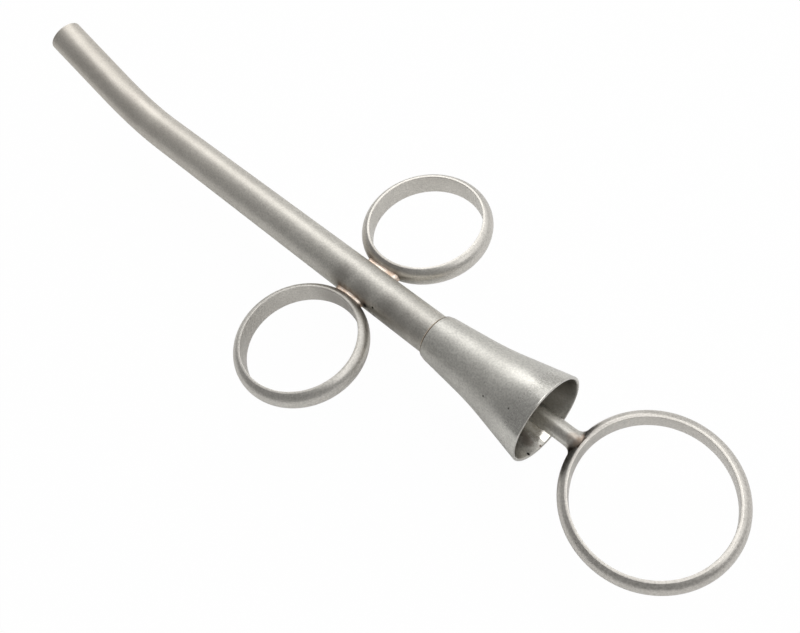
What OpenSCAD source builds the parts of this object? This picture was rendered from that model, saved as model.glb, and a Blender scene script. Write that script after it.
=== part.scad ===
// Bone graft syringe: a bent steel barrel with a loading funnel and two finger rings,
// and a ringed plunger whose sprung front end pushes the graft round the bend.

/* [Barrel] */
// Outside diameter of the barrel tube
barrel_d = 7; // [6:0.1:9]
// Wall thickness of the barrel tube
barrel_wall = 0.5; // [0.3:0.05:0.7]
// Straight length from the funnel's front edge to the bend
straight_len = 76.4; // [60:0.2:110]
// Bend radius on the tube's centre line
bend_r = 32.8; // [28:0.2:60]
// Angle of the bend
bend_angle = 29; // [15:1:35]
// Straight length of the tip beyond the bend
tip_len = 15.4; // [13.5:0.1:25]
// Chamfer on the rim of the tip
tip_chamfer = 0.15; // [0.05:0.05:0.2]

/* [Funnel] */
// Length of the funnel
funnel_len = 22.3; // [18:0.1:30]
// Depth to which the barrel enters the funnel
socket_len = 6; // [4:0.1:8]
// Wall left round the barrel at the funnel's front edge
front_wall = 0.4; // [0.3:0.05:0.6]
// Length of the bevel behind the front edge
bevel_len = 1.1; // [0.5:0.1:2]
// Rise of the bevel
bevel_rise = 0.25; // [0.1:0.05:0.4]
// Diameter where the narrow cone turns into the wide one
waist_d = 10.3; // [9.8:0.1:12]
// Distance of that place from the front edge
waist_x = 10.8; // [10:0.1:12.5]
// Half length of the smooth turn between the two cones
waist_blend = 3; // [1:0.1:5]
// Outside diameter of the mouth
mouth_d = 15.1; // [14:0.1:20]
// Wall thickness at the mouth
mouth_wall = 0.5; // [0.4:0.05:0.8]
// Height of the brazed seam at the funnel's front edge
seam_size = 0.3; // [0.15:0.05:0.4]

/* [Finger rings] */
// Inside diameter of a finger ring
finger_id = 19.7; // [17:0.1:24]
// Width of a finger ring's band
finger_w = 4; // [3:0.1:5]
// Thickness at the middle of the band
finger_t = 1.65; // [1.3:0.05:2.2]
// Thickness at the edges of the band
finger_edge = 0.4; // [0.2:0.05:0.7]
// Distance of the rings' centres ahead of the funnel's front edge
finger_x = 16.5; // [14:0.1:30]
// Length of the brazed joint between a ring and the barrel
braze_len = 7; // [5:0.1:8.5]
// Width of that joint
braze_w = 2; // [1.4:0.1:2.4]

/* [Thumb ring] */
// Inside diameter of the thumb ring
thumb_id = 22.2; // [20:0.1:27]
// Width of the thumb ring's band
thumb_w = 3.3; // [3:0.1:4.5]
// Thickness at the middle of the band
thumb_t = 1.55; // [1.2:0.05:2.2]
// Thickness at the edges of the band
thumb_edge = 0.4; // [0.2:0.05:0.7]
// Angle by which the plunger stands turned in the barrel
thumb_turn = 6; // [0:1:20]
// Radius of the weld between the rod and the thumb ring
weld_r = 1.1; // [0.3:0.05:1.5]

/* [Plunger] */
// Diameter of the rod
rod_d = 3; // [2.4:0.1:3.8]
// Length of rod that shows between the funnel and the thumb ring
rod_show = 5.3; // [3:0.1:9]
// Length of the plunger head
head_len = 3.2; // [2:0.1:4]
// Chamfer round both ends of the head
head_chamfer = 0.3; // [0.1:0.05:0.5]
// Length of the collar behind the head
collar_len = 2; // [1:0.1:3]
// Diameter of the collar behind the head
collar_d = 4; // [3:0.1:4.8]
// Diameter of the pin that joins the collar to the head
collar_pin_d = 2.2; // [1.4:0.1:2.8]
// Depth of that pin in the head
collar_pin_len = 1.6; // [1:0.1:1.8]
// Length of the ferrule that joins the rod to the spring
ferrule_len = 6; // [5:0.1:9]
// Depth to which the rod enters the ferrule
ferrule_socket = 4; // [2:0.1:4.5]
// Turns of wire in each short length of the spring
turns = 4; // [3:1:5]
// Wire thickness over the pitch of the turns
wire_fill = 1.06; // [1.02:0.01:1.12]
// Gap between one short length of the spring and the next
section_gap = 0.45; // [0.4:0.05:0.6]

/* [Clearances] */
// Gap between the head and the bore, all round
head_gap = 0.2; // [0.1:0.05:0.4]
// Gap between the spring or the ferrule and the bore, all round
spring_gap = 0.6; // [0.5:0.05:0.8]
// Gap between the rod and its ferrule, all round
rod_gap = 0.05; // [0.02:0.01:0.08]
// Gap between parts that are soldered together
solder_gap = 0.03; // [0.01:0.01:0.06]
// Gap left between the thumb ring and the funnel when the plunger is home
stop_gap = 0.3; // [0.1:0.05:0.6]
// Length of straight bore left ahead of the ferrule when the plunger is home
ferrule_gap = 0.5; // [0.2:0.1:2]

/* [Hidden] */
$fn = 96;
// Facets of a circle where a thin piece is cut from between two round ones
fine = 360;
// Width over which the spring's turns touch, as a share of the wire's thickness
contact_share = 0.6;

steel = "#b5b1aa";
bright_steel = "#cbc8c2";
dark_steel = "#8f8b84";
braze = "#d9ab8c";
heat_tint = "#7d6555";

// Thickness to which the weld runs out along the rod, and the steps of its hollow side
weld_skin = 0.1;
weld_steps = 8;
// Overlap of a cutting tool past the face that it cuts
cut = 0.5;
// Length and depth to which the tip's tube is let into the wall at the end of the bend
lap_len = 0.05;
lap_depth = 0.01;
// Shared sizes of the tube and the rings
barrel_r = barrel_d / 2;
bore_r = barrel_r - barrel_wall;
tip_r = barrel_r - lap_depth;
tip_bore_r = bore_r + lap_depth;
arc_len = bend_r * bend_angle * PI / 180;
mouth_r = mouth_d / 2;
mouth_inner_r = mouth_r - mouth_wall;
finger_r = finger_id / 2 + finger_t;
finger_y = barrel_r + solder_gap + finger_r;
thumb_r = thumb_id / 2 + thumb_t;
thumb_x = funnel_len + rod_show + thumb_r;

// Travel of the plunger from rest until the thumb ring is at the funnel's rim
home_travel = thumb_x - sqrt(pow(thumb_r, 2) - pow(mouth_inner_r, 2)) - funnel_len - stop_gap;

// Distances along the bore, back from the tip's end, of the pieces that ride in it
head_u = home_travel;
collar_u = head_u + head_len;
spring_u = collar_u + collar_len;
ferrule_u = tip_len + arc_len + home_travel + ferrule_gap;
ferrule_x = -straight_len + home_travel + ferrule_gap;
section_count = 7;
section_len = (ferrule_u - spring_u - (section_count + 1) * section_gap) / section_count;
spring_r = bore_r - spring_gap;
pitch = section_len / (turns - 1 + wire_fill);
wire_d = pitch * wire_fill;
contact_w = wire_d * contact_share;

// Heading of the bore, as an angle above the straight, and its centre line
function heading(u) = bend_angle * (1 - max(0, min(1, (u - tip_len) / arc_len)));
function line_x(u) = -straight_len - bend_r * sin(heading(u))
    + max(0, u - tip_len - arc_len) - max(0, tip_len - u) * cos(heading(u));
function line_z(u) = bend_r * (1 - cos(heading(u))) + max(0, tip_len - u) * sin(heading(u));

// Corners of the whole object that set where its origin lies
tip_low_x = line_x(0) - (tip_r - tip_chamfer) * sin(bend_angle);
thumb_high_x = thumb_x + thumb_r;
origin_x = (tip_low_x + thumb_high_x) / 2;

// Moves what is built round the barrel's axis, with the funnel's front edge at x = 0, so that
// the origin is under the middle of the object and the funnel's rim rests at z = 0
module placed() {
    translate([-origin_x, 0, mouth_r]) children();
}

// Turns a shape built along z so that it lies along x
module along_x() {
    rotate([0, 90, 0]) children();
}

// Carries a shape to a place on the bore's centre line, with its z towards the tip
module on_line(u) {
    translate([line_x(u), 0, line_z(u)]) rotate([0, heading(u) - 90, 0]) children();
}

module tube(length) {
    difference() {
        cylinder(r = barrel_r, h = length);
        translate([0, 0, -cut]) cylinder(r = bore_r, h = length + 2 * cut);
    }
}

// Frame of the bend: its centre is the origin, and the tube turns in the x-y plane from the x axis
module at_bend() {
    translate([-straight_len, 0, bend_r]) rotate([-90, 90, 0]) children();
}

module bent_tube() {
    rotate_extrude(angle = bend_angle) translate([bend_r, 0]) difference() {
        circle(r = barrel_r);
        circle(r = bore_r);
    }
}

// The tip's tube, whose rim is bevelled outside and inside
module tip_tube() {
    rotate_extrude() polygon([
        [tip_bore_r, -lap_len], [tip_r, -lap_len], [tip_r, tip_len - tip_chamfer],
        [tip_r - tip_chamfer, tip_len], [tip_bore_r + tip_chamfer, tip_len],
        [tip_bore_r, tip_len - tip_chamfer]
    ]);
}

module barrel() {
    color(steel) placed() {
        translate([-straight_len, 0, 0]) along_x() tube(straight_len + socket_len);
        at_bend() {
            bent_tube();
            rotate([0, 0, bend_angle]) translate([bend_r, 0, 0]) rotate([-90, 0, 0]) tip_tube();
        }
    }
}

// Outline of the funnel: a bevel, a narrow cone, a smooth turn, a wide cone and a round lip
neck_r = barrel_r + front_wall + bevel_rise;
waist_r = waist_d / 2;
neck_slope = (waist_r - neck_r) / (waist_x - bevel_len);
flare_slope = (mouth_r - waist_r) / (funnel_len - waist_x);
turn_from = [waist_x - waist_blend, waist_r - waist_blend * neck_slope];
turn_to = [waist_x + waist_blend, waist_r + waist_blend * flare_slope];
turn_steps = 8;
function turn_point(t) = pow(1 - t, 2) * turn_from + 2 * t * (1 - t) * [waist_x, waist_r]
    + pow(t, 2) * turn_to;
lip_r = mouth_wall / 2;
lip_steps = 6;
function lip_point(a) = [funnel_len - lip_r + lip_r * sin(a), mouth_r - lip_r + lip_r * cos(a)];

funnel_outline = concat(
    [[0, barrel_r + solder_gap], [0, barrel_r + front_wall], [bevel_len, neck_r]],
    [for (i = [0:turn_steps]) turn_point(i / turn_steps)],
    [for (i = [0:lip_steps]) lip_point(180 * i / lip_steps)],
    [[socket_len, barrel_r + solder_gap]]
);

module funnel() {
    color(steel) placed() along_x() rotate_extrude()
        polygon([for (p = funnel_outline) [p[1], p[0]]]);
}

module funnel_braze() {
    color(heat_tint) placed() along_x() rotate_extrude()
        polygon([[barrel_r, -seam_size], [barrel_r, 0], [barrel_r + seam_size, 0]]);
}

// A ring bent from half-round wire: flat inside, crowned outside
module band_ring(id, w, t, edge) {
    crown = t - edge;
    crown_r = (pow(w / 2, 2) + pow(crown, 2)) / (2 * crown);
    rotate_extrude() {
        translate([id / 2, -w / 2]) square([edge, w]);
        intersection() {
            translate([id / 2 + t - crown_r, 0]) circle(r = crown_r);
            translate([id / 2 + edge / 2, -w / 2]) square([t, w]);
        }
    }
}

module finger_band() {
    band_ring(finger_id, finger_w, finger_t, finger_edge);
}

module finger_ring(side) {
    color(steel) placed() translate([-finger_x, side * finger_y, 0]) finger_band();
}

module finger_ring_left() {
    finger_ring(1);
}

module finger_ring_right() {
    finger_ring(-1);
}

// The pad of braze between a finger ring and the barrel, with round ends
module finger_braze(side) {
    pad_end = (braze_len - braze_w) / 2;
    color(braze) placed() translate([-finger_x, 0, 0]) difference() {
        rotate([-90 * side, 0, 0]) linear_extrude(barrel_r + finger_t) {
            square([2 * pad_end, braze_w], center = true);
            translate([pad_end, 0]) circle(d = braze_w);
            translate([-pad_end, 0]) circle(d = braze_w);
        }
        translate([-braze_len, 0, 0]) along_x() cylinder(r = barrel_r, h = 2 * braze_len, $fn = fine);
        translate([0, side * finger_y, 0]) finger_band($fn = fine);
    }
}

module finger_braze_left() {
    finger_braze(1);
}

module finger_braze_right() {
    finger_braze(-1);
}

module thumb_band() {
    translate([thumb_x, 0, 0]) rotate([thumb_turn, 0, 0])
        band_ring(thumb_id, thumb_w, thumb_t, thumb_edge);
}

// The disc inside the thumb ring, which cuts off what would reach through its band
module thumb_space() {
    translate([thumb_x, 0, 0]) rotate([thumb_turn, 0, 0])
        cylinder(d = thumb_id + thumb_edge, h = 2 * thumb_w, center = true);
}

module thumb_ring() {
    color(steel) placed() thumb_band();
}

module plunger_rod() {
    rod_front = ferrule_x + ferrule_len - ferrule_socket + solder_gap;
    color(bright_steel) placed() difference() {
        translate([rod_front, 0, 0]) along_x() cylinder(d = rod_d, h = thumb_x - thumb_id / 2 - rod_front);
        thumb_band();
        thumb_space();
    }
}

// The hollow-sided weld that spreads from the rod onto the thumb ring's band
module thumb_weld() {
    foot_r = rod_d / 2 + weld_r;
    foot_x = thumb_x - sqrt(pow(thumb_r, 2) - pow(foot_r, 2));
    start_x = -weld_r - weld_skin;
    color(heat_tint) placed() difference() {
        intersection() {
            translate([foot_x, 0, 0]) along_x() rotate_extrude() polygon(concat(
                [[rod_d / 2, start_x], [rod_d / 2 + weld_skin, start_x]],
                [for (i = [0:weld_steps]) [foot_r - (weld_r - weld_skin) * cos(90 * i / weld_steps),
                    -weld_r * (1 - sin(90 * i / weld_steps))]],
                [[foot_r, thumb_t], [rod_d / 2, thumb_t]]
            ));
            translate([thumb_x, 0, 0]) rotate([thumb_turn, 0, 0])
                cube([4 * thumb_r, 2 * thumb_r, thumb_w - 2 * solder_gap], center = true);
        }
        thumb_band();
        thumb_space();
    }
}

module rod_ferrule() {
    color(bright_steel) placed() translate([ferrule_x, 0, 0]) along_x() difference() {
        cylinder(r = spring_r, h = ferrule_len);
        translate([0, 0, ferrule_len - ferrule_socket])
            cylinder(r = rod_d / 2 + rod_gap, h = ferrule_socket + cut);
    }
}

// A few close-wound turns of the spring, pressed together where they touch
module spring_section(number) {
    u = spring_u + number * section_gap + (number - 0.5) * section_len;
    color(dark_steel) placed() on_line(u) rotate_extrude() translate([spring_r - wire_d / 2, 0]) {
        square([contact_w, (turns - 1) * pitch], center = true);
        for (i = [0:turns - 1]) translate([0, (i - (turns - 1) / 2) * pitch]) circle(d = wire_d);
    }
}

module head_collar() {
    color(bright_steel) placed() on_line(spring_u) {
        cylinder(d = collar_d, h = collar_len);
        cylinder(d = collar_pin_d, h = collar_len + collar_pin_len);
    }
}

module plunger_head() {
    head_r = bore_r - head_gap;
    pin_r = collar_pin_d / 2 + solder_gap;
    color(bright_steel) placed() on_line(collar_u) rotate_extrude() polygon([
        [pin_r, 0], [head_r - head_chamfer, 0], [head_r, head_chamfer],
        [head_r, head_len - head_chamfer], [head_r - head_chamfer, head_len], [0, head_len],
        [0, collar_pin_len + solder_gap], [pin_r, collar_pin_len + solder_gap]
    ]);
}

barrel();
funnel();
funnel_braze();
finger_ring_left();
finger_ring_right();
finger_braze_left();
finger_braze_right();
plunger_rod();
thumb_ring();
thumb_weld();
rod_ferrule();
spring_section(1);  // spring_section_1
spring_section(2);  // spring_section_2
spring_section(3);  // spring_section_3
spring_section(4);  // spring_section_4
spring_section(5);  // spring_section_5
spring_section(6);  // spring_section_6
spring_section(7);  // spring_section_7
head_collar();
plunger_head();
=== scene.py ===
# Bone graft syringe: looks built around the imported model
import math

import bmesh
import bpy
import numpy as np
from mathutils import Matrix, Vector


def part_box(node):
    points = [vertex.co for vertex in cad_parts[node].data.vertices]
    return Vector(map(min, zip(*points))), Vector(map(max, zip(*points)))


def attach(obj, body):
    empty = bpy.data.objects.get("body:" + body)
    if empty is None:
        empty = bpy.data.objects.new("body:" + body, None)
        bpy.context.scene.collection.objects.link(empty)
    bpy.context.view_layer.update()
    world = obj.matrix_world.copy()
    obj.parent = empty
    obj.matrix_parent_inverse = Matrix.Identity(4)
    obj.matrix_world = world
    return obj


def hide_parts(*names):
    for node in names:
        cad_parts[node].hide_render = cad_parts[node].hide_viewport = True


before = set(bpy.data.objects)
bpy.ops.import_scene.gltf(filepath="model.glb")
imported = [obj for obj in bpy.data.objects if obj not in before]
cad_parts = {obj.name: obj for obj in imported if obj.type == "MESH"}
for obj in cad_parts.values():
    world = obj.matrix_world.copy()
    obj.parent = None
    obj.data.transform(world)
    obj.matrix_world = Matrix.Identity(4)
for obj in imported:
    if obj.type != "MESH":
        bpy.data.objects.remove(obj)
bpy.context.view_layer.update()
mm = 0.001

# The barrel's axis is x. All lengths below are in millimetres from the funnel's front edge
funnelLow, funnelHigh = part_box("funnel")
axisStart = np.array([funnelLow.x, 0.0, (funnelLow.z + funnelHigh.z) / 2])

barrelSize = {
    "radius": 3.5, "bore": 3.02,               # the head sways a little on its way round the bend
    "straight": 76.4, "bendRadius": 32.8, "bendAngle": 29.0, "tip": 15.4, "socket": 6.0, "rim": 0.15,
    "tipStations": [5.0, 10.0], "bendStations": 33, "straightStations": 16, "straightInset": (4, 3),
}
funnelSize = {
    "length": 22.3, "front": 3.9, "bevelLength": 1.1, "bevelRadius": 4.15, "waist": 10.8,
    "waistRadius": 5.15, "waistBlend": 3.0, "mouth": 7.55, "wall": 0.5, "socket": 6.0, "seat": 3.53,
    "edge": [(0.0, -0.1), (0.03, -0.03), (0.1, 0.02), (0.22, 0.05)],    # way behind the front, rise above its radius
    "bevelSoft": (0.35, 0.05), "neckStart": 0.5,
    "burntEdge": 0.2, "insideSlack": (0.1, 0.08),    # limits of the faces that take another steel
}
fingerRingSize = {
    "inner": 9.85, "width": 4.0, "thick": 1.65, "edge": 0.4, "x": -16.5, "y": 15.03, "soft": 0.08, "steps": 180,
}
thumbRingSize = {
    "inner": 11.1, "width": 3.3, "thick": 1.55, "edge": 0.4, "x": 40.25, "turn": 6.0, "soft": 0.06, "steps": 200,
}


# Centre line of the bore: a distance back from the tip's end gives a place and the way to the tip
def boreLine(u):
    bend = math.radians(barrelSize["bendAngle"])
    arc = barrelSize["bendRadius"] * bend
    turn = bend * (1 - max(0.0, min(1.0, (u - barrelSize["tip"]) / arc)))
    before = max(0.0, barrelSize["tip"] - u)
    behind = max(0.0, u - barrelSize["tip"] - arc)
    x = -barrelSize["straight"] - barrelSize["bendRadius"] * math.sin(turn) + behind - before * math.cos(turn)
    z = barrelSize["bendRadius"] * (1 - math.cos(turn)) + before * math.sin(turn)
    return np.array([x, 0.0, z]), np.array([-math.cos(turn), 0.0, math.sin(turn)])


def onStraight(s):
    return np.array([s, 0.0, 0.0]), np.array([1.0, 0.0, 0.0])


# Rounds every corner of a closed outline that turns by more than 15 degrees
def softCorners(points, radius, steps=4):
    out = []
    count = len(points)
    for i in range(count):
        before, here, after = (np.array(points[(i + k) % count], float) for k in (-1, 0, 1))
        a, b = before - here, after - here
        la, lb = np.linalg.norm(a), np.linalg.norm(b)
        turn = math.acos(max(-1.0, min(1.0, float(-(a @ b) / (la * lb)))))
        if turn < math.radians(15):
            out.append(tuple(here))
            continue
        back = min(radius * math.tan(turn / 2), la / 2.2, lb / 2.2)
        start, end = here + a / la * back, here + b / lb * back
        for k in range(steps + 1):
            t = k / steps
            out.append(tuple((1 - t) ** 2 * start + 2 * t * (1 - t) * here + t ** 2 * end))
    return out


def makeMesh(name, points, faces, sharpAngle=35):
    mesh = bpy.data.meshes.new(name)
    mesh.from_pydata([tuple(axisStart + np.array(p) * mm) for p in points], [], faces)
    work = bmesh.new()
    work.from_mesh(mesh)
    bmesh.ops.remove_doubles(work, verts=work.verts, dist=1e-7)
    bmesh.ops.dissolve_degenerate(work, edges=work.edges, dist=1e-8)
    bmesh.ops.recalc_face_normals(work, faces=work.faces)
    work.to_mesh(mesh)
    work.free()
    mesh.shade_smooth()
    mesh.set_sharp_from_angle(angle=math.radians(sharpAngle))
    piece = bpy.data.objects.new(name, mesh)
    bpy.context.scene.collection.objects.link(piece)
    return piece


# Turns a closed outline of (distance along, radius) round a line
def turned(name, outline, line=onStraight, steps=128, side=None):
    side = np.array([0.0, 1.0, 0.0]) if side is None else side
    points, faces = [], []
    for i in range(steps):
        angle = 2 * math.pi * i / steps
        for s, r in outline:
            centre, ahead = line(s)
            up = np.cross(ahead, side)
            points.append(centre + r * (math.cos(angle) * side + math.sin(angle) * up))
    count = len(outline)
    for i in range(steps):
        for j in range(count):
            k = (j + 1) % count
            if outline[j][1] < 1e-6 and outline[k][1] < 1e-6:
                continue
            a, b = i * count, (i + 1) % steps * count
            faces.append((a + j, a + k, b + k, b + j))
    return makeMesh(name, points, faces)


# Sweeps a circle along a list of points, with closed ends
def wireAlong(name, path, radius, sides=12):
    path = np.array(path)
    ahead = np.gradient(path, axis=0)
    ahead /= np.linalg.norm(ahead, axis=1)[:, None]
    side = np.cross(ahead, [0.0, 1.0, 0.1])
    side /= np.linalg.norm(side, axis=1)[:, None]
    up = np.cross(ahead, side)
    points, faces = [], []
    for p, a, b in zip(path, side, up):
        for k in range(sides):
            t = 2 * math.pi * k / sides
            points.append(p + radius * (math.cos(t) * a + math.sin(t) * b))
    for i in range(len(path) - 1):
        for k in range(sides):
            n = (k + 1) % sides
            faces.append((i * sides + k, i * sides + n, (i + 1) * sides + n, (i + 1) * sides + k))
    faces.append(tuple(range(sides)))
    faces.append(tuple((len(path) - 1) * sides + k for k in range(sides)))
    return makeMesh(name, points, faces)


# Colours and materials
def hexColour(text, alpha=1.0):
    parts = [int(text[i:i + 2], 16) / 255 for i in (1, 3, 5)]
    return [c / 12.92 if c <= 0.04045 else ((c + 0.055) / 1.055) ** 2.4 for c in parts] + [alpha]


def addNode(tree, kind, sockets=None, links=None, **options):
    node = tree.nodes.new(kind)
    for key, value in options.items():
        setattr(node, key, value)
    for key, value in (sockets or {}).items():
        node.inputs[key].default_value = value
    for key, source in (links or {}).items():
        tree.links.new(source, node.inputs[key])
    return node


def emptyTree(owner):
    owner.use_nodes = True
    owner.node_tree.nodes.clear()
    return owner.node_tree


def newMetal(name):
    material = bpy.data.materials.new(name)
    tree = emptyTree(material)
    shader = addNode(tree, "ShaderNodeBsdfPrincipled", {"Metallic": 1.0})
    addNode(tree, "ShaderNodeOutputMaterial", links={"Surface": shader.outputs[0]})
    return material, tree, shader, addNode(tree, "ShaderNodeTexCoord").outputs["Object"]


# Noise whose patches are about so many millimetres across
def noise(tree, place, size, detail, roughness):
    return addNode(tree, "ShaderNodeTexNoise", {"Scale": 1 / (size * mm), "Detail": detail, "Roughness": roughness},
                   {"Vector": place})


noiseSpan = (0.3, 0.7)                         # most of a noise's values lie between these


def remap(tree, value, span, low=0.0, high=1.0, curve="LINEAR"):
    return addNode(tree, "ShaderNodeMapRange", {1: span[0], 2: span[1], 3: low, 4: high}, {0: value},
                   interpolation_type=curve).outputs[0]


# One step of arithmetic on sockets and plain numbers
def calc(tree, operation, *terms):
    numbers = {i: term for i, term in enumerate(terms) if isinstance(term, float)}
    sockets = {i: term for i, term in enumerate(terms) if i not in numbers}
    return addNode(tree, "ShaderNodeMath", numbers, sockets, operation=operation).outputs[0]


# Lays a tone over a colour
def layTone(tree, share, colour, tone):
    return addNode(tree, "ShaderNodeMix", {7: hexColour(tone)}, {0: share, 6: colour}, data_type="RGBA").outputs[2]


def mixTones(tree, share, dark, light):
    return addNode(tree, "ShaderNodeMix", {6: hexColour(dark), 7: hexColour(light)}, {0: share},
                   data_type="RGBA").outputs[2]


# Share of a spot at each point (a stain, painted shade, a pit or a worn patch): full at the centre of a spot and gone
# at its reach
def spotShare(tree, place, spots):
    share = None
    for x, y, z, inner, reach in spots:
        centre = tuple(axisStart + np.array([x, y, z]) * mm)
        away = addNode(tree, "ShaderNodeVectorMath", {1: centre}, {0: place}, operation="DISTANCE")
        near = remap(tree, away.outputs["Value"], (inner * mm, reach * mm), 1.0, 0.0, "SMOOTHSTEP")
        share = near if share is None else calc(tree, "MAXIMUM", share, near)
    return share


steelLook = {
    "light": "#e9e6de", "dark": "#b3b0a9",     # crests and pits of the blasted surface
    "roughLow": 0.44, "roughHigh": 0.54,
    "grain": 0.30,                             # real pits are about 0.1 mm, drawn coarser so that they show
    "cloud": 6.0, "cloudShare": 0.3,           # patches where the blasting was heavier
    "bump": 0.3, "relief": 0.012,
    "drift": 2.2,                              # way by which the edges of stains and of painted shade wander
    "wear": 0.7,                               # share of the roughness that scraping takes away
}


# Bead-blasted stainless steel: a soft satin shine with a fine speckle and no polish lines
def blastedSteel(name, look=None, tints=(), pits=(), smoothFrom=None, worn=()):
    look = dict(steelLook, **(look or {}))
    material, tree, shader, place = newMetal(name)
    grain = noise(tree, place, look["grain"], 3.0, 0.6)
    cloud = noise(tree, place, look["cloud"], 5.0, 0.7)
    speckle = remap(tree, grain.outputs["Fac"], noiseSpan)
    patch = remap(tree, cloud.outputs["Fac"], noiseSpan)
    both = addNode(tree, "ShaderNodeMix", {0: look["cloudShare"]}, {2: speckle, 3: patch}).outputs[0]
    colour = mixTones(tree, both, look["dark"], look["light"])
    if tints:
        # the edges of stains and of painted shade wander with the cloudy pattern
        drift = addNode(tree, "ShaderNodeVectorMath", {1: (0.5, 0.5, 0.5)}, {0: cloud.outputs["Color"]},
                        operation="SUBTRACT")
        drift = addNode(tree, "ShaderNodeVectorMath", {"Scale": look["drift"] * mm}, {0: drift.outputs[0]},
                        operation="SCALE")
        wandering = addNode(tree, "ShaderNodeVectorMath", links={0: place, 1: drift.outputs[0]},
                            operation="ADD").outputs[0]
    for tone, strength, spots in tints:
        share = calc(tree, "MULTIPLY", spotShare(tree, wandering, spots), strength)
        colour = layTone(tree, share, colour, tone)
    for tone, spots in pits:
        colour = layTone(tree, spotShare(tree, place, spots), colour, tone)
    rough = remap(tree, grain.outputs["Fac"], noiseSpan, look["roughLow"], look["roughHigh"])
    if smoothFrom:
        # hands have rubbed this end smoother
        start, end, drop = smoothFrom
        along = addNode(tree, "ShaderNodeSeparateXYZ", links={0: place}).outputs[0]
        span = (axisStart[0] + start * mm, axisStart[0] + end * mm)
        rough = calc(tree, "SUBTRACT", rough, remap(tree, along, span, 0.0, drop, "SMOOTHSTEP"))
    if worn:
        # the bottom of the funnel is scraped nearly to a mirror
        left = calc(tree, "MULTIPLY_ADD", spotShare(tree, place, worn), -look["wear"], 1.0)
        rough = calc(tree, "MULTIPLY", rough, left)
    bump = addNode(tree, "ShaderNodeBump", {"Strength": look["bump"], "Distance": look["relief"] * mm},
                   {"Height": grain.outputs["Fac"]}).outputs[0]
    tree.links.new(colour, shader.inputs["Base Color"])
    tree.links.new(rough, shader.inputs["Roughness"])
    tree.links.new(bump, shader.inputs["Normal"])
    return material


bandScale = 6.28                               # the wave texture's rings come out about two pitches apart


# Turned or drawn steel of the pieces in the bore, with faint rings from the tool
def turnedSteel(name, light, dark, roughness, pitch):
    material, tree, shader, place = newMetal(name)
    scale = 1 / (pitch * mm) / bandScale
    rings = addNode(tree, "ShaderNodeTexWave", {"Scale": scale, "Distortion": 0.6, "Detail": 2.0},
                    {"Vector": place}, wave_type="BANDS", bands_direction="X")
    cloud = noise(tree, place, 2.5, 6.0, 0.7).outputs["Fac"]
    colour = mixTones(tree, remap(tree, cloud, noiseSpan), dark, light)
    rough = remap(tree, cloud, noiseSpan, roughness * 0.85, roughness * 1.25)
    bump = addNode(tree, "ShaderNodeBump", {"Strength": 0.2, "Distance": 0.01 * mm}, {"Height": rings.outputs["Fac"]})
    tree.links.new(colour, shader.inputs["Base Color"])
    tree.links.new(rough, shader.inputs["Roughness"])
    tree.links.new(bump.outputs[0], shader.inputs["Normal"])
    return material


# Brazing alloy: a coppery skin that flowed smooth, brown where the flux burned
def brazeMetal(name, light, dark, patch, roughness):
    material, tree, shader, place = newMetal(name)
    cloud = noise(tree, place, patch, 5.0, 0.65).outputs["Fac"]
    colour = mixTones(tree, remap(tree, cloud, (0.38, 0.6)), dark, light)
    bump = addNode(tree, "ShaderNodeBump", {"Strength": 0.3, "Distance": 0.03 * mm}, {"Height": cloud})
    shader.inputs["Roughness"].default_value = roughness
    tree.links.new(colour, shader.inputs["Base Color"])
    tree.links.new(bump.outputs[0], shader.inputs["Normal"])
    return material


def finish(piece, body, slot, material, *nodes):
    for one in material if isinstance(material, list) else [material]:
        piece.data.materials.append(one)
    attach(piece, body)
    if nodes:
        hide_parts(*nodes)


ringX = fingerRingSize["x"]
# one grey for soot by the braze and weld joints, and for painted shade where the finger rings meet the tube
sootAndShadeTone, brownTone = "#77716b", "#8d7461"
warmTone = "#d6ccc0"
barrelSteel = blastedSteel("bead-blasted barrel steel", {"light": "#e9e6de", "dark": "#b5b2ab"}, tints=[
    (warmTone, 0.35, [(-108, 0, 16, 10, 100)]),
    (sootAndShadeTone, 0.45, [(-19.5, -2.4, 2.6, 0.3, 3.2), (-14.5, -3.0, 1.8, 0.5, 4.0), (-8.5, -3.4, 0.6, 0.3, 6.0)]),
    (sootAndShadeTone, 0.32, [(-7.5, -2.4, 2.5, 0.4, 4.6), (-4.5, -2.4, 2.5, 0.4, 4.4), (-1.8, -2.4, 2.5, 0.4, 4.0)]),
    (brownTone, 0.45, [(ringX + k, side * 3.3, 1.1, 0.1, 1.0)
                       for side in (1, -1) for k in (-3, -1.5, 0, 1.5, 3)]),
    ("#2d2926", 0.9, [(-13.3, -3.45, 0.6, 0.15, 0.7), (-12.2, -3.49, 0.2, 0.1, 0.6), (-11.2, -3.5, 0.0, 0.1, 0.5)]),
], pits=[("#23201e", [(-11.24, -3.15, 1.52, 0.12, 0.3)])])
funnelSteel = blastedSteel("bead-blasted funnel steel", {
    "light": "#e8e6df", "dark": "#b7b5af", "roughLow": 0.47, "roughHigh": 0.51, "bump": 0.03}, pits=[
    ("#63605a", [(14.14, -4.36, 3.9, 0.06, 0.25), (18.86, -4.05, 5.54, 0.05, 0.2), (13.2, -3.0, 4.9, 0.04, 0.16)]),
], smoothFrom=(13, 22.3, 0.27))
ringSteel = blastedSteel("bead-blasted ring steel", {
    "light": "#e8e4dd", "dark": "#bcb9b2", "roughLow": 0.32, "roughHigh": 0.42, "bump": 0.1}, tints=[
    (brownTone, 0.5, [(ringX + k, side * 4.1, 0.8, 0.2, 1.6) for side in (1, -1) for k in (-3, -1, 1, 3)]),
    # grey where each ring meets the tube: a little braze soot, spread wide and dark as painted shade from the tube
    (sootAndShadeTone, 0.45, [(ringX + k, side * 4.3, 0.6, 0.5, 5.5) for side in (1, -1) for k in (-2.5, 0, 2.5)]),
])
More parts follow.
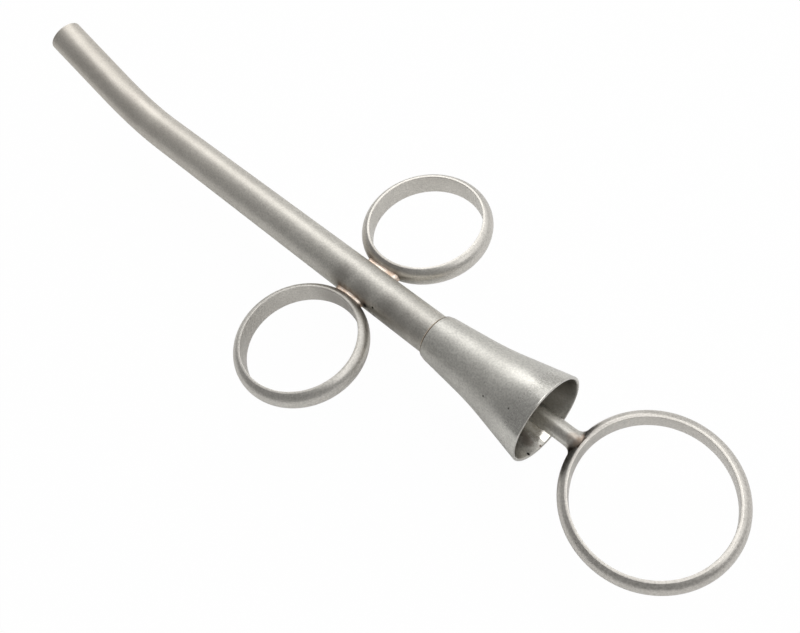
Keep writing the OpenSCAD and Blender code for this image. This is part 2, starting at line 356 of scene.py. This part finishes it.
rodStains = [
    ("#bba999", 0.45, [(27.2, -0.2, 1.45, 0.3, 1.2)]),
    ("#877160", 0.75, [(28.35, y, 1.4, 0.35, 1.0) for y in (-1.6, -0.8, 0.0, 0.8, 1.6)]),
    ("#6f5e51", 0.75, [(27.9, -2.0, 0.6, 0.4, 1.4), (28.1, 2.1, 0.4, 0.1, 0.8)]),
]
rodSteel = blastedSteel("satin rod steel", {"roughLow": 0.3, "roughHigh": 0.4, "bump": 0.15}, tints=rodStains)
thumbSteel = blastedSteel("bead-blasted thumb ring steel", {
    "light": "#e8e4dd", "dark": "#bcb8b1", "roughLow": 0.32, "roughHigh": 0.42, "bump": 0.1}, tints=[
    (sootAndShadeTone, 0.3, [(27.6, -2.4, -0.4, 1.0, 4.0), (27.6, 2.4, -0.4, 0.5, 3.0)])])
insideSteel = blastedSteel("bead-blasted steel inside the funnel", {
    "light": "#e0ddd6", "dark": "#a5a29b", "roughLow": 0.28, "roughHigh": 0.36, "bump": 0.1, "cloud": 2.5}, tints=[
    # painted shade: the far wall inside the funnel is darkened grey
    ("#66645f", 0.75, [(18.5, 5.8, -2.2, 3.0, 6.0)]),
    # a darker, browner patch low inside the mouth
    ("#7f7165", 0.6, [(17.2, -1.7, -5.6, 0.5, 1.6), (18.8, -2.0, -6.0, 0.6, 1.5), (20.2, -2.3, -6.3, 0.6, 1.4)]),
], pits=[
    ("#1f1c1a", [(21.92, -4.12, -5.69, 0.16, 0.38)]), ("#5a4234", [(22.07, -1.56, -6.88, 0.06, 0.22)]),
], worn=[(18.8, 0.4, -6.3, 0.9, 1.9), (20.2, 0.3, -6.6, 1.1, 2.1), (21.6, 0.2, -6.9, 1.3, 2.3)])
headSteel = turnedSteel("turned steel of the head", light="#d6d2cb", dark="#a8a49d", roughness=0.26, pitch=0.25)
springSteel = turnedSteel("drawn spring wire", light="#c4c0b8", dark="#8f8b84", roughness=0.3, pitch=0.2)
brazeCopper = brazeMetal("silver-copper braze", light="#f0e3d6", dark="#d6bba5", patch=1.3, roughness=0.38)
seamBraze = brazeMetal("pale braze of the seam", light="#fff3e2", dark="#e8d6c0", patch=0.7, roughness=0.34)
edgeBrown = brazeMetal("flux-burnt edge", light="#918679", dark="#71675d", patch=0.7, roughness=0.5)
print("materials made:", len(bpy.data.materials))

# Barrel: a bent tube, drawn whole so that the light runs over the bend without a break
bendFrom = barrelSize["tip"]
bendTo = barrelSize["tip"] + barrelSize["bendRadius"] * math.radians(barrelSize["bendAngle"])
tubeLength = bendTo + barrelSize["straight"] + barrelSize["socket"]
afterBend, beforeEnd = barrelSize["straightInset"]
stations = barrelSize["tipStations"] + list(np.linspace(bendFrom, bendTo, barrelSize["bendStations"])) \
    + list(np.linspace(bendTo + afterBend, tubeLength - beforeEnd, barrelSize["straightStations"]))
rim, outer, inner = barrelSize["rim"], barrelSize["radius"], barrelSize["bore"]
rimAngles = np.radians([0, 22, 45, 67, 90])
rimArc = [(rim * (1 - math.sin(a)), outer - rim * (1 - math.cos(a))) for a in rimAngles[::-1]]
boreArc = [(rim * (1 - math.sin(a)), inner + rim * (1 - math.cos(a))) for a in rimAngles]
tubeOutline = rimArc + [(s, outer) for s in stations] + [(tubeLength, outer), (tubeLength, inner)] \
    + [(s, inner) for s in stations[::-1]] + boreArc
barrel = turned("barrelTube", tubeOutline, line=boreLine, steps=96)
finish(barrel, "barrel_unit", "satin_steel", barrelSteel, "barrel")
print("barrel made")

# Funnel: bevelled front, narrow cone, wide cone and a round lip
size = funnelSize
neckSlope = (size["waistRadius"] - size["bevelRadius"]) / (size["waist"] - size["bevelLength"])
flareSlope = (size["mouth"] - size["waistRadius"]) / (size["length"] - size["waist"])
waistStart = np.array([size["waist"] - size["waistBlend"], size["waistRadius"] - size["waistBlend"] * neckSlope])
waistMid = np.array([size["waist"], size["waistRadius"]])
waistEnd = np.array([size["waist"] + size["waistBlend"], size["waistRadius"] + size["waistBlend"] * flareSlope])
waistArc = [tuple((1 - t) ** 2 * waistStart + 2 * t * (1 - t) * waistMid + t ** 2 * waistEnd)
            for t in np.linspace(0, 1, 13)]
lip = size["wall"] / 2
lipArc = [(size["length"] - lip + lip * math.sin(a), size["mouth"] - lip + lip * math.cos(a))
          for a in np.radians(np.linspace(0, 180, 9))]
softBack, softDrop = size["bevelSoft"]
front = [(s, size["front"] + rise) for s, rise in size["edge"]] + [
    (size["bevelLength"] - softBack, size["bevelRadius"] - softDrop), (size["bevelLength"], size["bevelRadius"]),
    (size["bevelLength"] + size["neckStart"], size["bevelRadius"] + size["neckStart"] * neckSlope)]
funnelOutline = [(0.0, size["seat"])] + front + waistArc + lipArc + [(size["socket"], size["seat"])]
funnel = turned("funnelCone", funnelOutline, steps=160)
boreSlope = (size["mouth"] - 2 * lip - size["seat"]) / (size["length"] - lip - size["socket"])
slackBack, slackOut = size["insideSlack"]
for face in funnel.data.polygons:
    x, y, z = face.center
    radius = math.hypot(y - axisStart[1], z - axisStart[2]) / mm
    s = (x - axisStart[0]) / mm
    wall = size["seat"] + boreSlope * (s - size["socket"])
    inside = s > size["socket"] - slackBack and radius < wall + slackOut
    face.material_index = 1 if inside else 2 if s < size["burntEdge"] else 0
finish(funnel, "barrel_unit", "satin_steel", [funnelSteel, insideSteel, edgeBrown], "funnel")

# Seam: a thin hollow fillet of braze that dips between the tube and the funnel's edge
seamOutline = [(0.02, 3.45), (-0.3, 3.49), (-0.2, 3.54), (-0.1, 3.62), (-0.04, 3.74), (-0.01, 3.84), (0.02, 3.86)]
seam = turned("funnelSeam", seamOutline, steps=128)
finish(seam, "barrel_unit", "tinted_steel", seamBraze, "funnel_braze")
print("funnel made")


# Ring of half-round strip: flat inside, crowned outside, with a narrow land along each edge
def bandOutline(size):
    crown = size["thick"] - size["edge"]
    half = size["width"] / 2
    crownRadius = (half ** 2 + crown ** 2) / (2 * crown)
    limit = math.asin(half / crownRadius)
    arc = [(crownRadius * math.sin(a), size["inner"] + size["thick"] - crownRadius * (1 - math.cos(a)))
           for a in np.linspace(-limit, limit, 21)]
    corners = [(half, size["inner"]), (-half, size["inner"])]
    return softCorners(arc + corners, size["soft"])


def bandRing(name, size, centre, turn=0.0):
    tilt = math.radians(turn)
    ahead = np.array([0.0, -math.sin(tilt), math.cos(tilt)])
    middle = np.array(centre, float)
    return turned(name, bandOutline(size), line=lambda s: (middle + ahead * s, ahead), steps=size["steps"],
                  side=np.array([1.0, 0.0, 0.0]))


for sideName, side in (("left", 1), ("right", -1)):
    ring = bandRing("fingerRing_" + sideName, fingerRingSize, (fingerRingSize["x"], side * fingerRingSize["y"], 0))
    finish(ring, "barrel_unit", "satin_steel", ringSteel, "finger_ring_" + sideName)
thumbRing = bandRing("thumbRing", thumbRingSize, (thumbRingSize["x"], 0, 0), thumbRingSize["turn"])
finish(thumbRing, "handle", "satin_steel", thumbSteel, "thumb_ring")
print("rings made")


# Distance by which a ring's crowned outside falls away from its crest
def crownFall(size, across):
    crown = size["thick"] - size["edge"]
    crownRadius = ((size["width"] / 2) ** 2 + crown ** 2) / (2 * crown)
    return crownRadius - math.sqrt(crownRadius ** 2 - across ** 2)


brazeSize = {
    "middle": 1.2, "ends": 0.75, "dip": 0.06, "round": 0.7, "stations": 45, "across": 7,
    "ripple": 0.02, "wave": 1.3, "least": 0.03, "most": 1.35, "sink": 0.02,
}
beads = {
    "left": {"side": 1, "seed": 4, "shift": 0.35, "half": 3.55},
    "right": {"side": -1, "seed": 9, "shift": -0.4, "half": 3.05},
}


# Braze: fills the wedge between a finger ring and the tube, hollow on top and below
def brazeBead(name, side, seed, shift, half):
    wander = np.random.default_rng(seed).normal(0, 1, 4)
    ringR = fingerRingSize["inner"] + fingerRingSize["thick"]
    loops = []
    for i in range(brazeSize["stations"]):
        t = 2 * i / (brazeSize["stations"] - 1) - 1
        dx = shift + t * half
        fromEnd = max(0.0, (abs(t) - 1) * half + brazeSize["round"]) / brazeSize["round"]
        taper = math.sqrt(max(0.0, 1 - fromEnd ** 2))
        ripple = 1 + brazeSize["ripple"] * sum(math.sin((k + 1) * brazeSize["wave"] * t + w)
                                               for k, w in enumerate(wander))
        height = (brazeSize["middle"] + (brazeSize["ends"] - brazeSize["middle"]) * t * t) * taper * ripple
        height = max(brazeSize["least"], min(brazeSize["most"], height))
        loop = []
        for top in (1, -1):
            z = top * height
            tubeY = math.sqrt(barrelSize["radius"] ** 2 - z ** 2) - brazeSize["sink"]
            crest = ringR - crownFall(fingerRingSize, z) - brazeSize["sink"]
            ringY = fingerRingSize["y"] - math.sqrt(crest ** 2 - dx ** 2)
            row = []
            for k in range(brazeSize["across"]):
                f = k / (brazeSize["across"] - 1)
                y = tubeY + (ringY - tubeY) * f
                sag = brazeSize["dip"] * 4 * f * (1 - f) * taper
                row.append((fingerRingSize["x"] + dx, side * y, z - top * sag))
            loop += row if top == 1 else row[::-1]
        loops.append(loop)
    count = len(loops[0])
    points = [p for loop in loops for p in loop]
    faces = [(i * count + j, i * count + (j + 1) % count, (i + 1) * count + (j + 1) % count, (i + 1) * count + j)
             for i in range(len(loops) - 1) for j in range(count)]
    faces += [tuple(range(count)), tuple((len(loops) - 1) * count + j for j in range(count))]
    return makeMesh(name, points, faces, 60)


for sideName, how in beads.items():
    bead = brazeBead("brazeBead_" + sideName, **how)
    finish(bead, "barrel_unit", "braze_metal", brazeCopper, "finger_braze_" + sideName)
print("brazes made")

# Rod, from its ferrule into the thumb ring's band
rodSize = {"radius": 1.5, "front": -66.72, "end": 28.72, "chamfer": 0.1, "from": -60, "to": 28.5, "stations": 24}
rodFront, rodEnd, rodR = rodSize["front"], rodSize["end"], rodSize["radius"]
rodOutline = [(rodFront, 0.0), (rodFront, rodR - rodSize["chamfer"]), (rodFront + rodSize["chamfer"], rodR)] \
    + [(s, rodR) for s in np.linspace(rodSize["from"], rodSize["to"], rodSize["stations"])] \
    + [(rodEnd, rodR), (rodEnd, 0.0)]
rod = turned("plungerRod", rodOutline, steps=64)
finish(rod, "handle", "drawn_steel", rodSteel, "plunger_rod")

weldSize = {
    "along": 1.3, "spread": 1.15, "steps": 11, "around": 96,
    "sideSpread": 0.14, "sideAlong": 0.6,      # shares of spread and along that are left above and below the rod
    "halfWidth": 1.62,                         # keeps the foot on the ring's band
    "footSink": 0.03, "skin": 0.005, "root": (0.3, -0.15), "rootRadii": (1.3, 1.35),
}


# Weld: a hollow flare from the rod onto the crowned band of the thumb ring
def weldFlare(name):
    tilt = math.radians(thumbRingSize["turn"])
    outside = thumbRingSize["inner"] + thumbRingSize["thick"]

    def bandX(r, angle):
        y, z = r * math.cos(angle), r * math.sin(angle)
        z = max(-weldSize["halfWidth"], min(weldSize["halfWidth"], z))
        return thumbRingSize["x"] - math.sqrt((outside - crownFall(thumbRingSize, z)) ** 2 - y ** 2)

    points, faces = [], []
    rows = weldSize["steps"] + 3
    rodR = rodSize["radius"]
    rootX, rootDrop = weldSize["root"]
    rootBack, rootFront = weldSize["rootRadii"]
    for i in range(weldSize["around"]):
        angle = 2 * math.pi * i / weldSize["around"]
        across = math.cos(angle) ** 2
        reach = rodR + weldSize["spread"] * (weldSize["sideSpread"] + (1 - weldSize["sideSpread"]) * across)
        along = weldSize["along"] * (weldSize["sideAlong"] + (1 - weldSize["sideAlong"]) * across)
        foot = np.array([bandX(reach, angle) + weldSize["footSink"], reach])
        corner = np.array([bandX(rodR, angle), rodR])
        start = np.array([min(corner[0], foot[0]) - along, rodR + weldSize["skin"]])
        side = [tuple((1 - t) ** 2 * start + 2 * t * (1 - t) * corner + t ** 2 * foot)
                for t in np.linspace(0, 1, weldSize["steps"])]
        loop = side + [(foot[0] + rootX, foot[1] + rootDrop), (foot[0] + rootX, rootBack), (start[0], rootFront)]
        for x, r in loop:
            y, z = r * math.cos(angle), r * math.sin(angle)
            points.append((x, y * math.cos(tilt) - z * math.sin(tilt), y * math.sin(tilt) + z * math.cos(tilt)))
    for i in range(weldSize["around"]):
        for j in range(rows):
            a, b, k = i * rows, (i + 1) % weldSize["around"] * rows, (j + 1) % rows
            faces.append((a + j, a + k, b + k, b + j))
    return makeMesh(name, points, faces, 50)


weld = weldFlare("thumbWeld")
finish(weld, "handle", "tinted_steel", rodSteel, "thumb_weld")
print("plunger handle made")

# Spring: each short length is a few close turns of wire
springSize = {
    "radius": 2.4, "wire": 0.83, "turns": 4, "first": 14.490, "step": 3.836, "pitch": 0.834, "steps": 28,
    "thin": 0.78,                              # a coil is one wire longer than the model's stacked rings
}
yWay = np.array([0.0, 1.0, 0.0])
for number in range(1, 8):
    centre, ahead = boreLine(springSize["first"] + (number - 1) * springSize["step"])
    up = np.cross(ahead, yWay)
    coilRadius = springSize["radius"] - springSize["wire"] / 2
    path = []
    for i in range(springSize["turns"] * springSize["steps"] + 1):
        t = i / springSize["steps"]
        angle = 2 * math.pi * t
        along = (t - springSize["turns"] / 2) * springSize["pitch"] * springSize["thin"]
        path.append(centre + ahead * along + coilRadius * (math.cos(angle) * yWay + math.sin(angle) * up))
    coil = wireAlong("springCoil_%d" % number, path, springSize["wire"] / 2 * springSize["thin"])
    finish(coil, "spring_%d_unit" % number, "spring_wire", springSteel, "spring_section_%d" % number)
for name in ("rod_ferrule", "head_collar", "plunger_head"):
    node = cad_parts[name]
    node.data.materials.clear()
    node.data.materials.append(headSteel)
print("spring made")

# Studio: a white table under a window. The window is on the left ring's side and the far side of the room is dim
studio = {
    "paperDim": 0.35, "paperBright": 0.97, "paperSpan": (-0.5, -0.06),
    "roomDim": 0.28, "roomBright": 0.63, "roomSpan": (-0.6, 1.0), "roomWay": (-0.35, 1.0, 0.0),
    "tableHeight": -0.0053,                    # low enough for the thumb ring to turn upright
    "tableReach": 3.0,
    "ownWhite": 0.98,                          # share of plain white in what the camera sees of the table
}


# One where the camera looks straight at the background, and nought for the light it sheds
def seenDirectly(tree):
    path = addNode(tree, "ShaderNodeLightPath")
    return calc(tree, "MAXIMUM", path.outputs["Is Camera Ray"], path.outputs["Is Transmission Ray"])


reach = studio["tableReach"]
floorMesh = bpy.data.meshes.new("studioFloor")
floorMesh.from_pydata([(-reach, -reach, 0), (reach, -reach, 0), (reach, reach, 0), (-reach, reach, 0)], [],
                      [(0, 1, 2, 3)])
floor = bpy.data.objects.new("studioFloor", floorMesh)
bpy.context.scene.collection.objects.link(floor)
floor.location.z = studio["tableHeight"]
paper = bpy.data.materials.new("white paper on the table")
tree = emptyTree(paper)
across = addNode(tree, "ShaderNodeSeparateXYZ", links={0: addNode(tree, "ShaderNodeTexCoord").outputs["Object"]})
# painted shade: the paper's colour darkens towards the far −Y side for the dim side of the room, which the metal
# shows in its reflections
paintedPaperShade = remap(tree, across.outputs[1], studio["paperSpan"], studio["paperDim"], studio["paperBright"], "SMOOTHSTEP")
matt = addNode(tree, "ShaderNodeBsdfDiffuse", links={"Color": paintedPaperShade})
glow = addNode(tree, "ShaderNodeEmission", {"Color": (1, 1, 1, 1), "Strength": 1.0})
share = calc(tree, "MULTIPLY", seenDirectly(tree), studio["ownWhite"])
blend = addNode(tree, "ShaderNodeMixShader", links={0: share, 1: matt.outputs[0], 2: glow.outputs[0]})
addNode(tree, "ShaderNodeOutputMaterial", links={"Surface": blend.outputs[0]})
floorMesh.materials.append(paper)

world = bpy.data.worlds.new("bright and dim side of the room")
bpy.context.scene.world = world
tree = emptyTree(world)
across = addNode(tree, "ShaderNodeVectorMath", {1: studio["roomWay"]},
                 {0: addNode(tree, "ShaderNodeTexCoord").outputs["Generated"]}, operation="DOT_PRODUCT")
room = remap(tree, across.outputs["Value"], studio["roomSpan"], studio["roomDim"], studio["roomBright"], "SMOOTHSTEP")
strength = addNode(tree, "ShaderNodeMix", {3: 1.0}, {0: seenDirectly(tree), 2: room})
sky = addNode(tree, "ShaderNodeBackground", {"Color": (1, 1, 1, 1)}, {"Strength": strength.outputs[0]})
addNode(tree, "ShaderNodeOutputWorld", links={"Surface": sky.outputs[0]})

lamps = {
    "window": {"azimuth": 61, "height": 54, "size": (1.15, 1.15), "radiance": 0.55},
    "skylight": {"azimuth": 68, "height": 72, "size": (0.3, 0.3), "radiance": 2.2},
    "softbox": {"azimuth": 141, "height": 38, "size": (0.36, 0.36), "radiance": 2.2},
    "card": {"azimuth": 11, "height": 39, "size": (0.23, 0.23), "radiance": 1.8},
}
lampDistance = 0.8
lampAim = Vector((0.01, 0.0, 0.008))
for name, lamp in lamps.items():
    light = bpy.data.lights.new(name, "AREA")
    light.shape = "RECTANGLE"
    light.size, light.size_y = lamp["size"]
    light.energy = lamp["radiance"] * math.pi * light.size * light.size_y
    holder = bpy.data.objects.new(name, light)
    bpy.context.scene.collection.objects.link(holder)
    a, e = math.radians(lamp["azimuth"]), math.radians(lamp["height"])
    way = Vector((math.cos(e) * math.cos(a), math.cos(e) * math.sin(a), math.sin(e)))
    holder.location = lampAim + way * lampDistance
    holder.rotation_euler = way.to_track_quat("Z", "Y").to_euler()

cameraSetup = {
    "place": (0.086989, -0.041368, 0.124816), "turn": (34.2982, 10.4939, 45.5038),
    "lens": 38.8805, "shift": (0.02646, -0.03004), "clip": (0.001, 20),
}
camera = bpy.data.cameras.new("photoCamera")
camera.lens = cameraSetup["lens"]
camera.shift_x, camera.shift_y = cameraSetup["shift"]
camera.clip_start, camera.clip_end = cameraSetup["clip"]
holder = bpy.data.objects.new("photoCamera", camera)
bpy.context.scene.collection.objects.link(holder)
holder.location = cameraSetup["place"]
holder.rotation_euler = [math.radians(a) for a in cameraSetup["turn"]]
bpy.context.scene.camera = holder
bpy.context.scene.view_settings.view_transform = "Standard"
print("studio made")
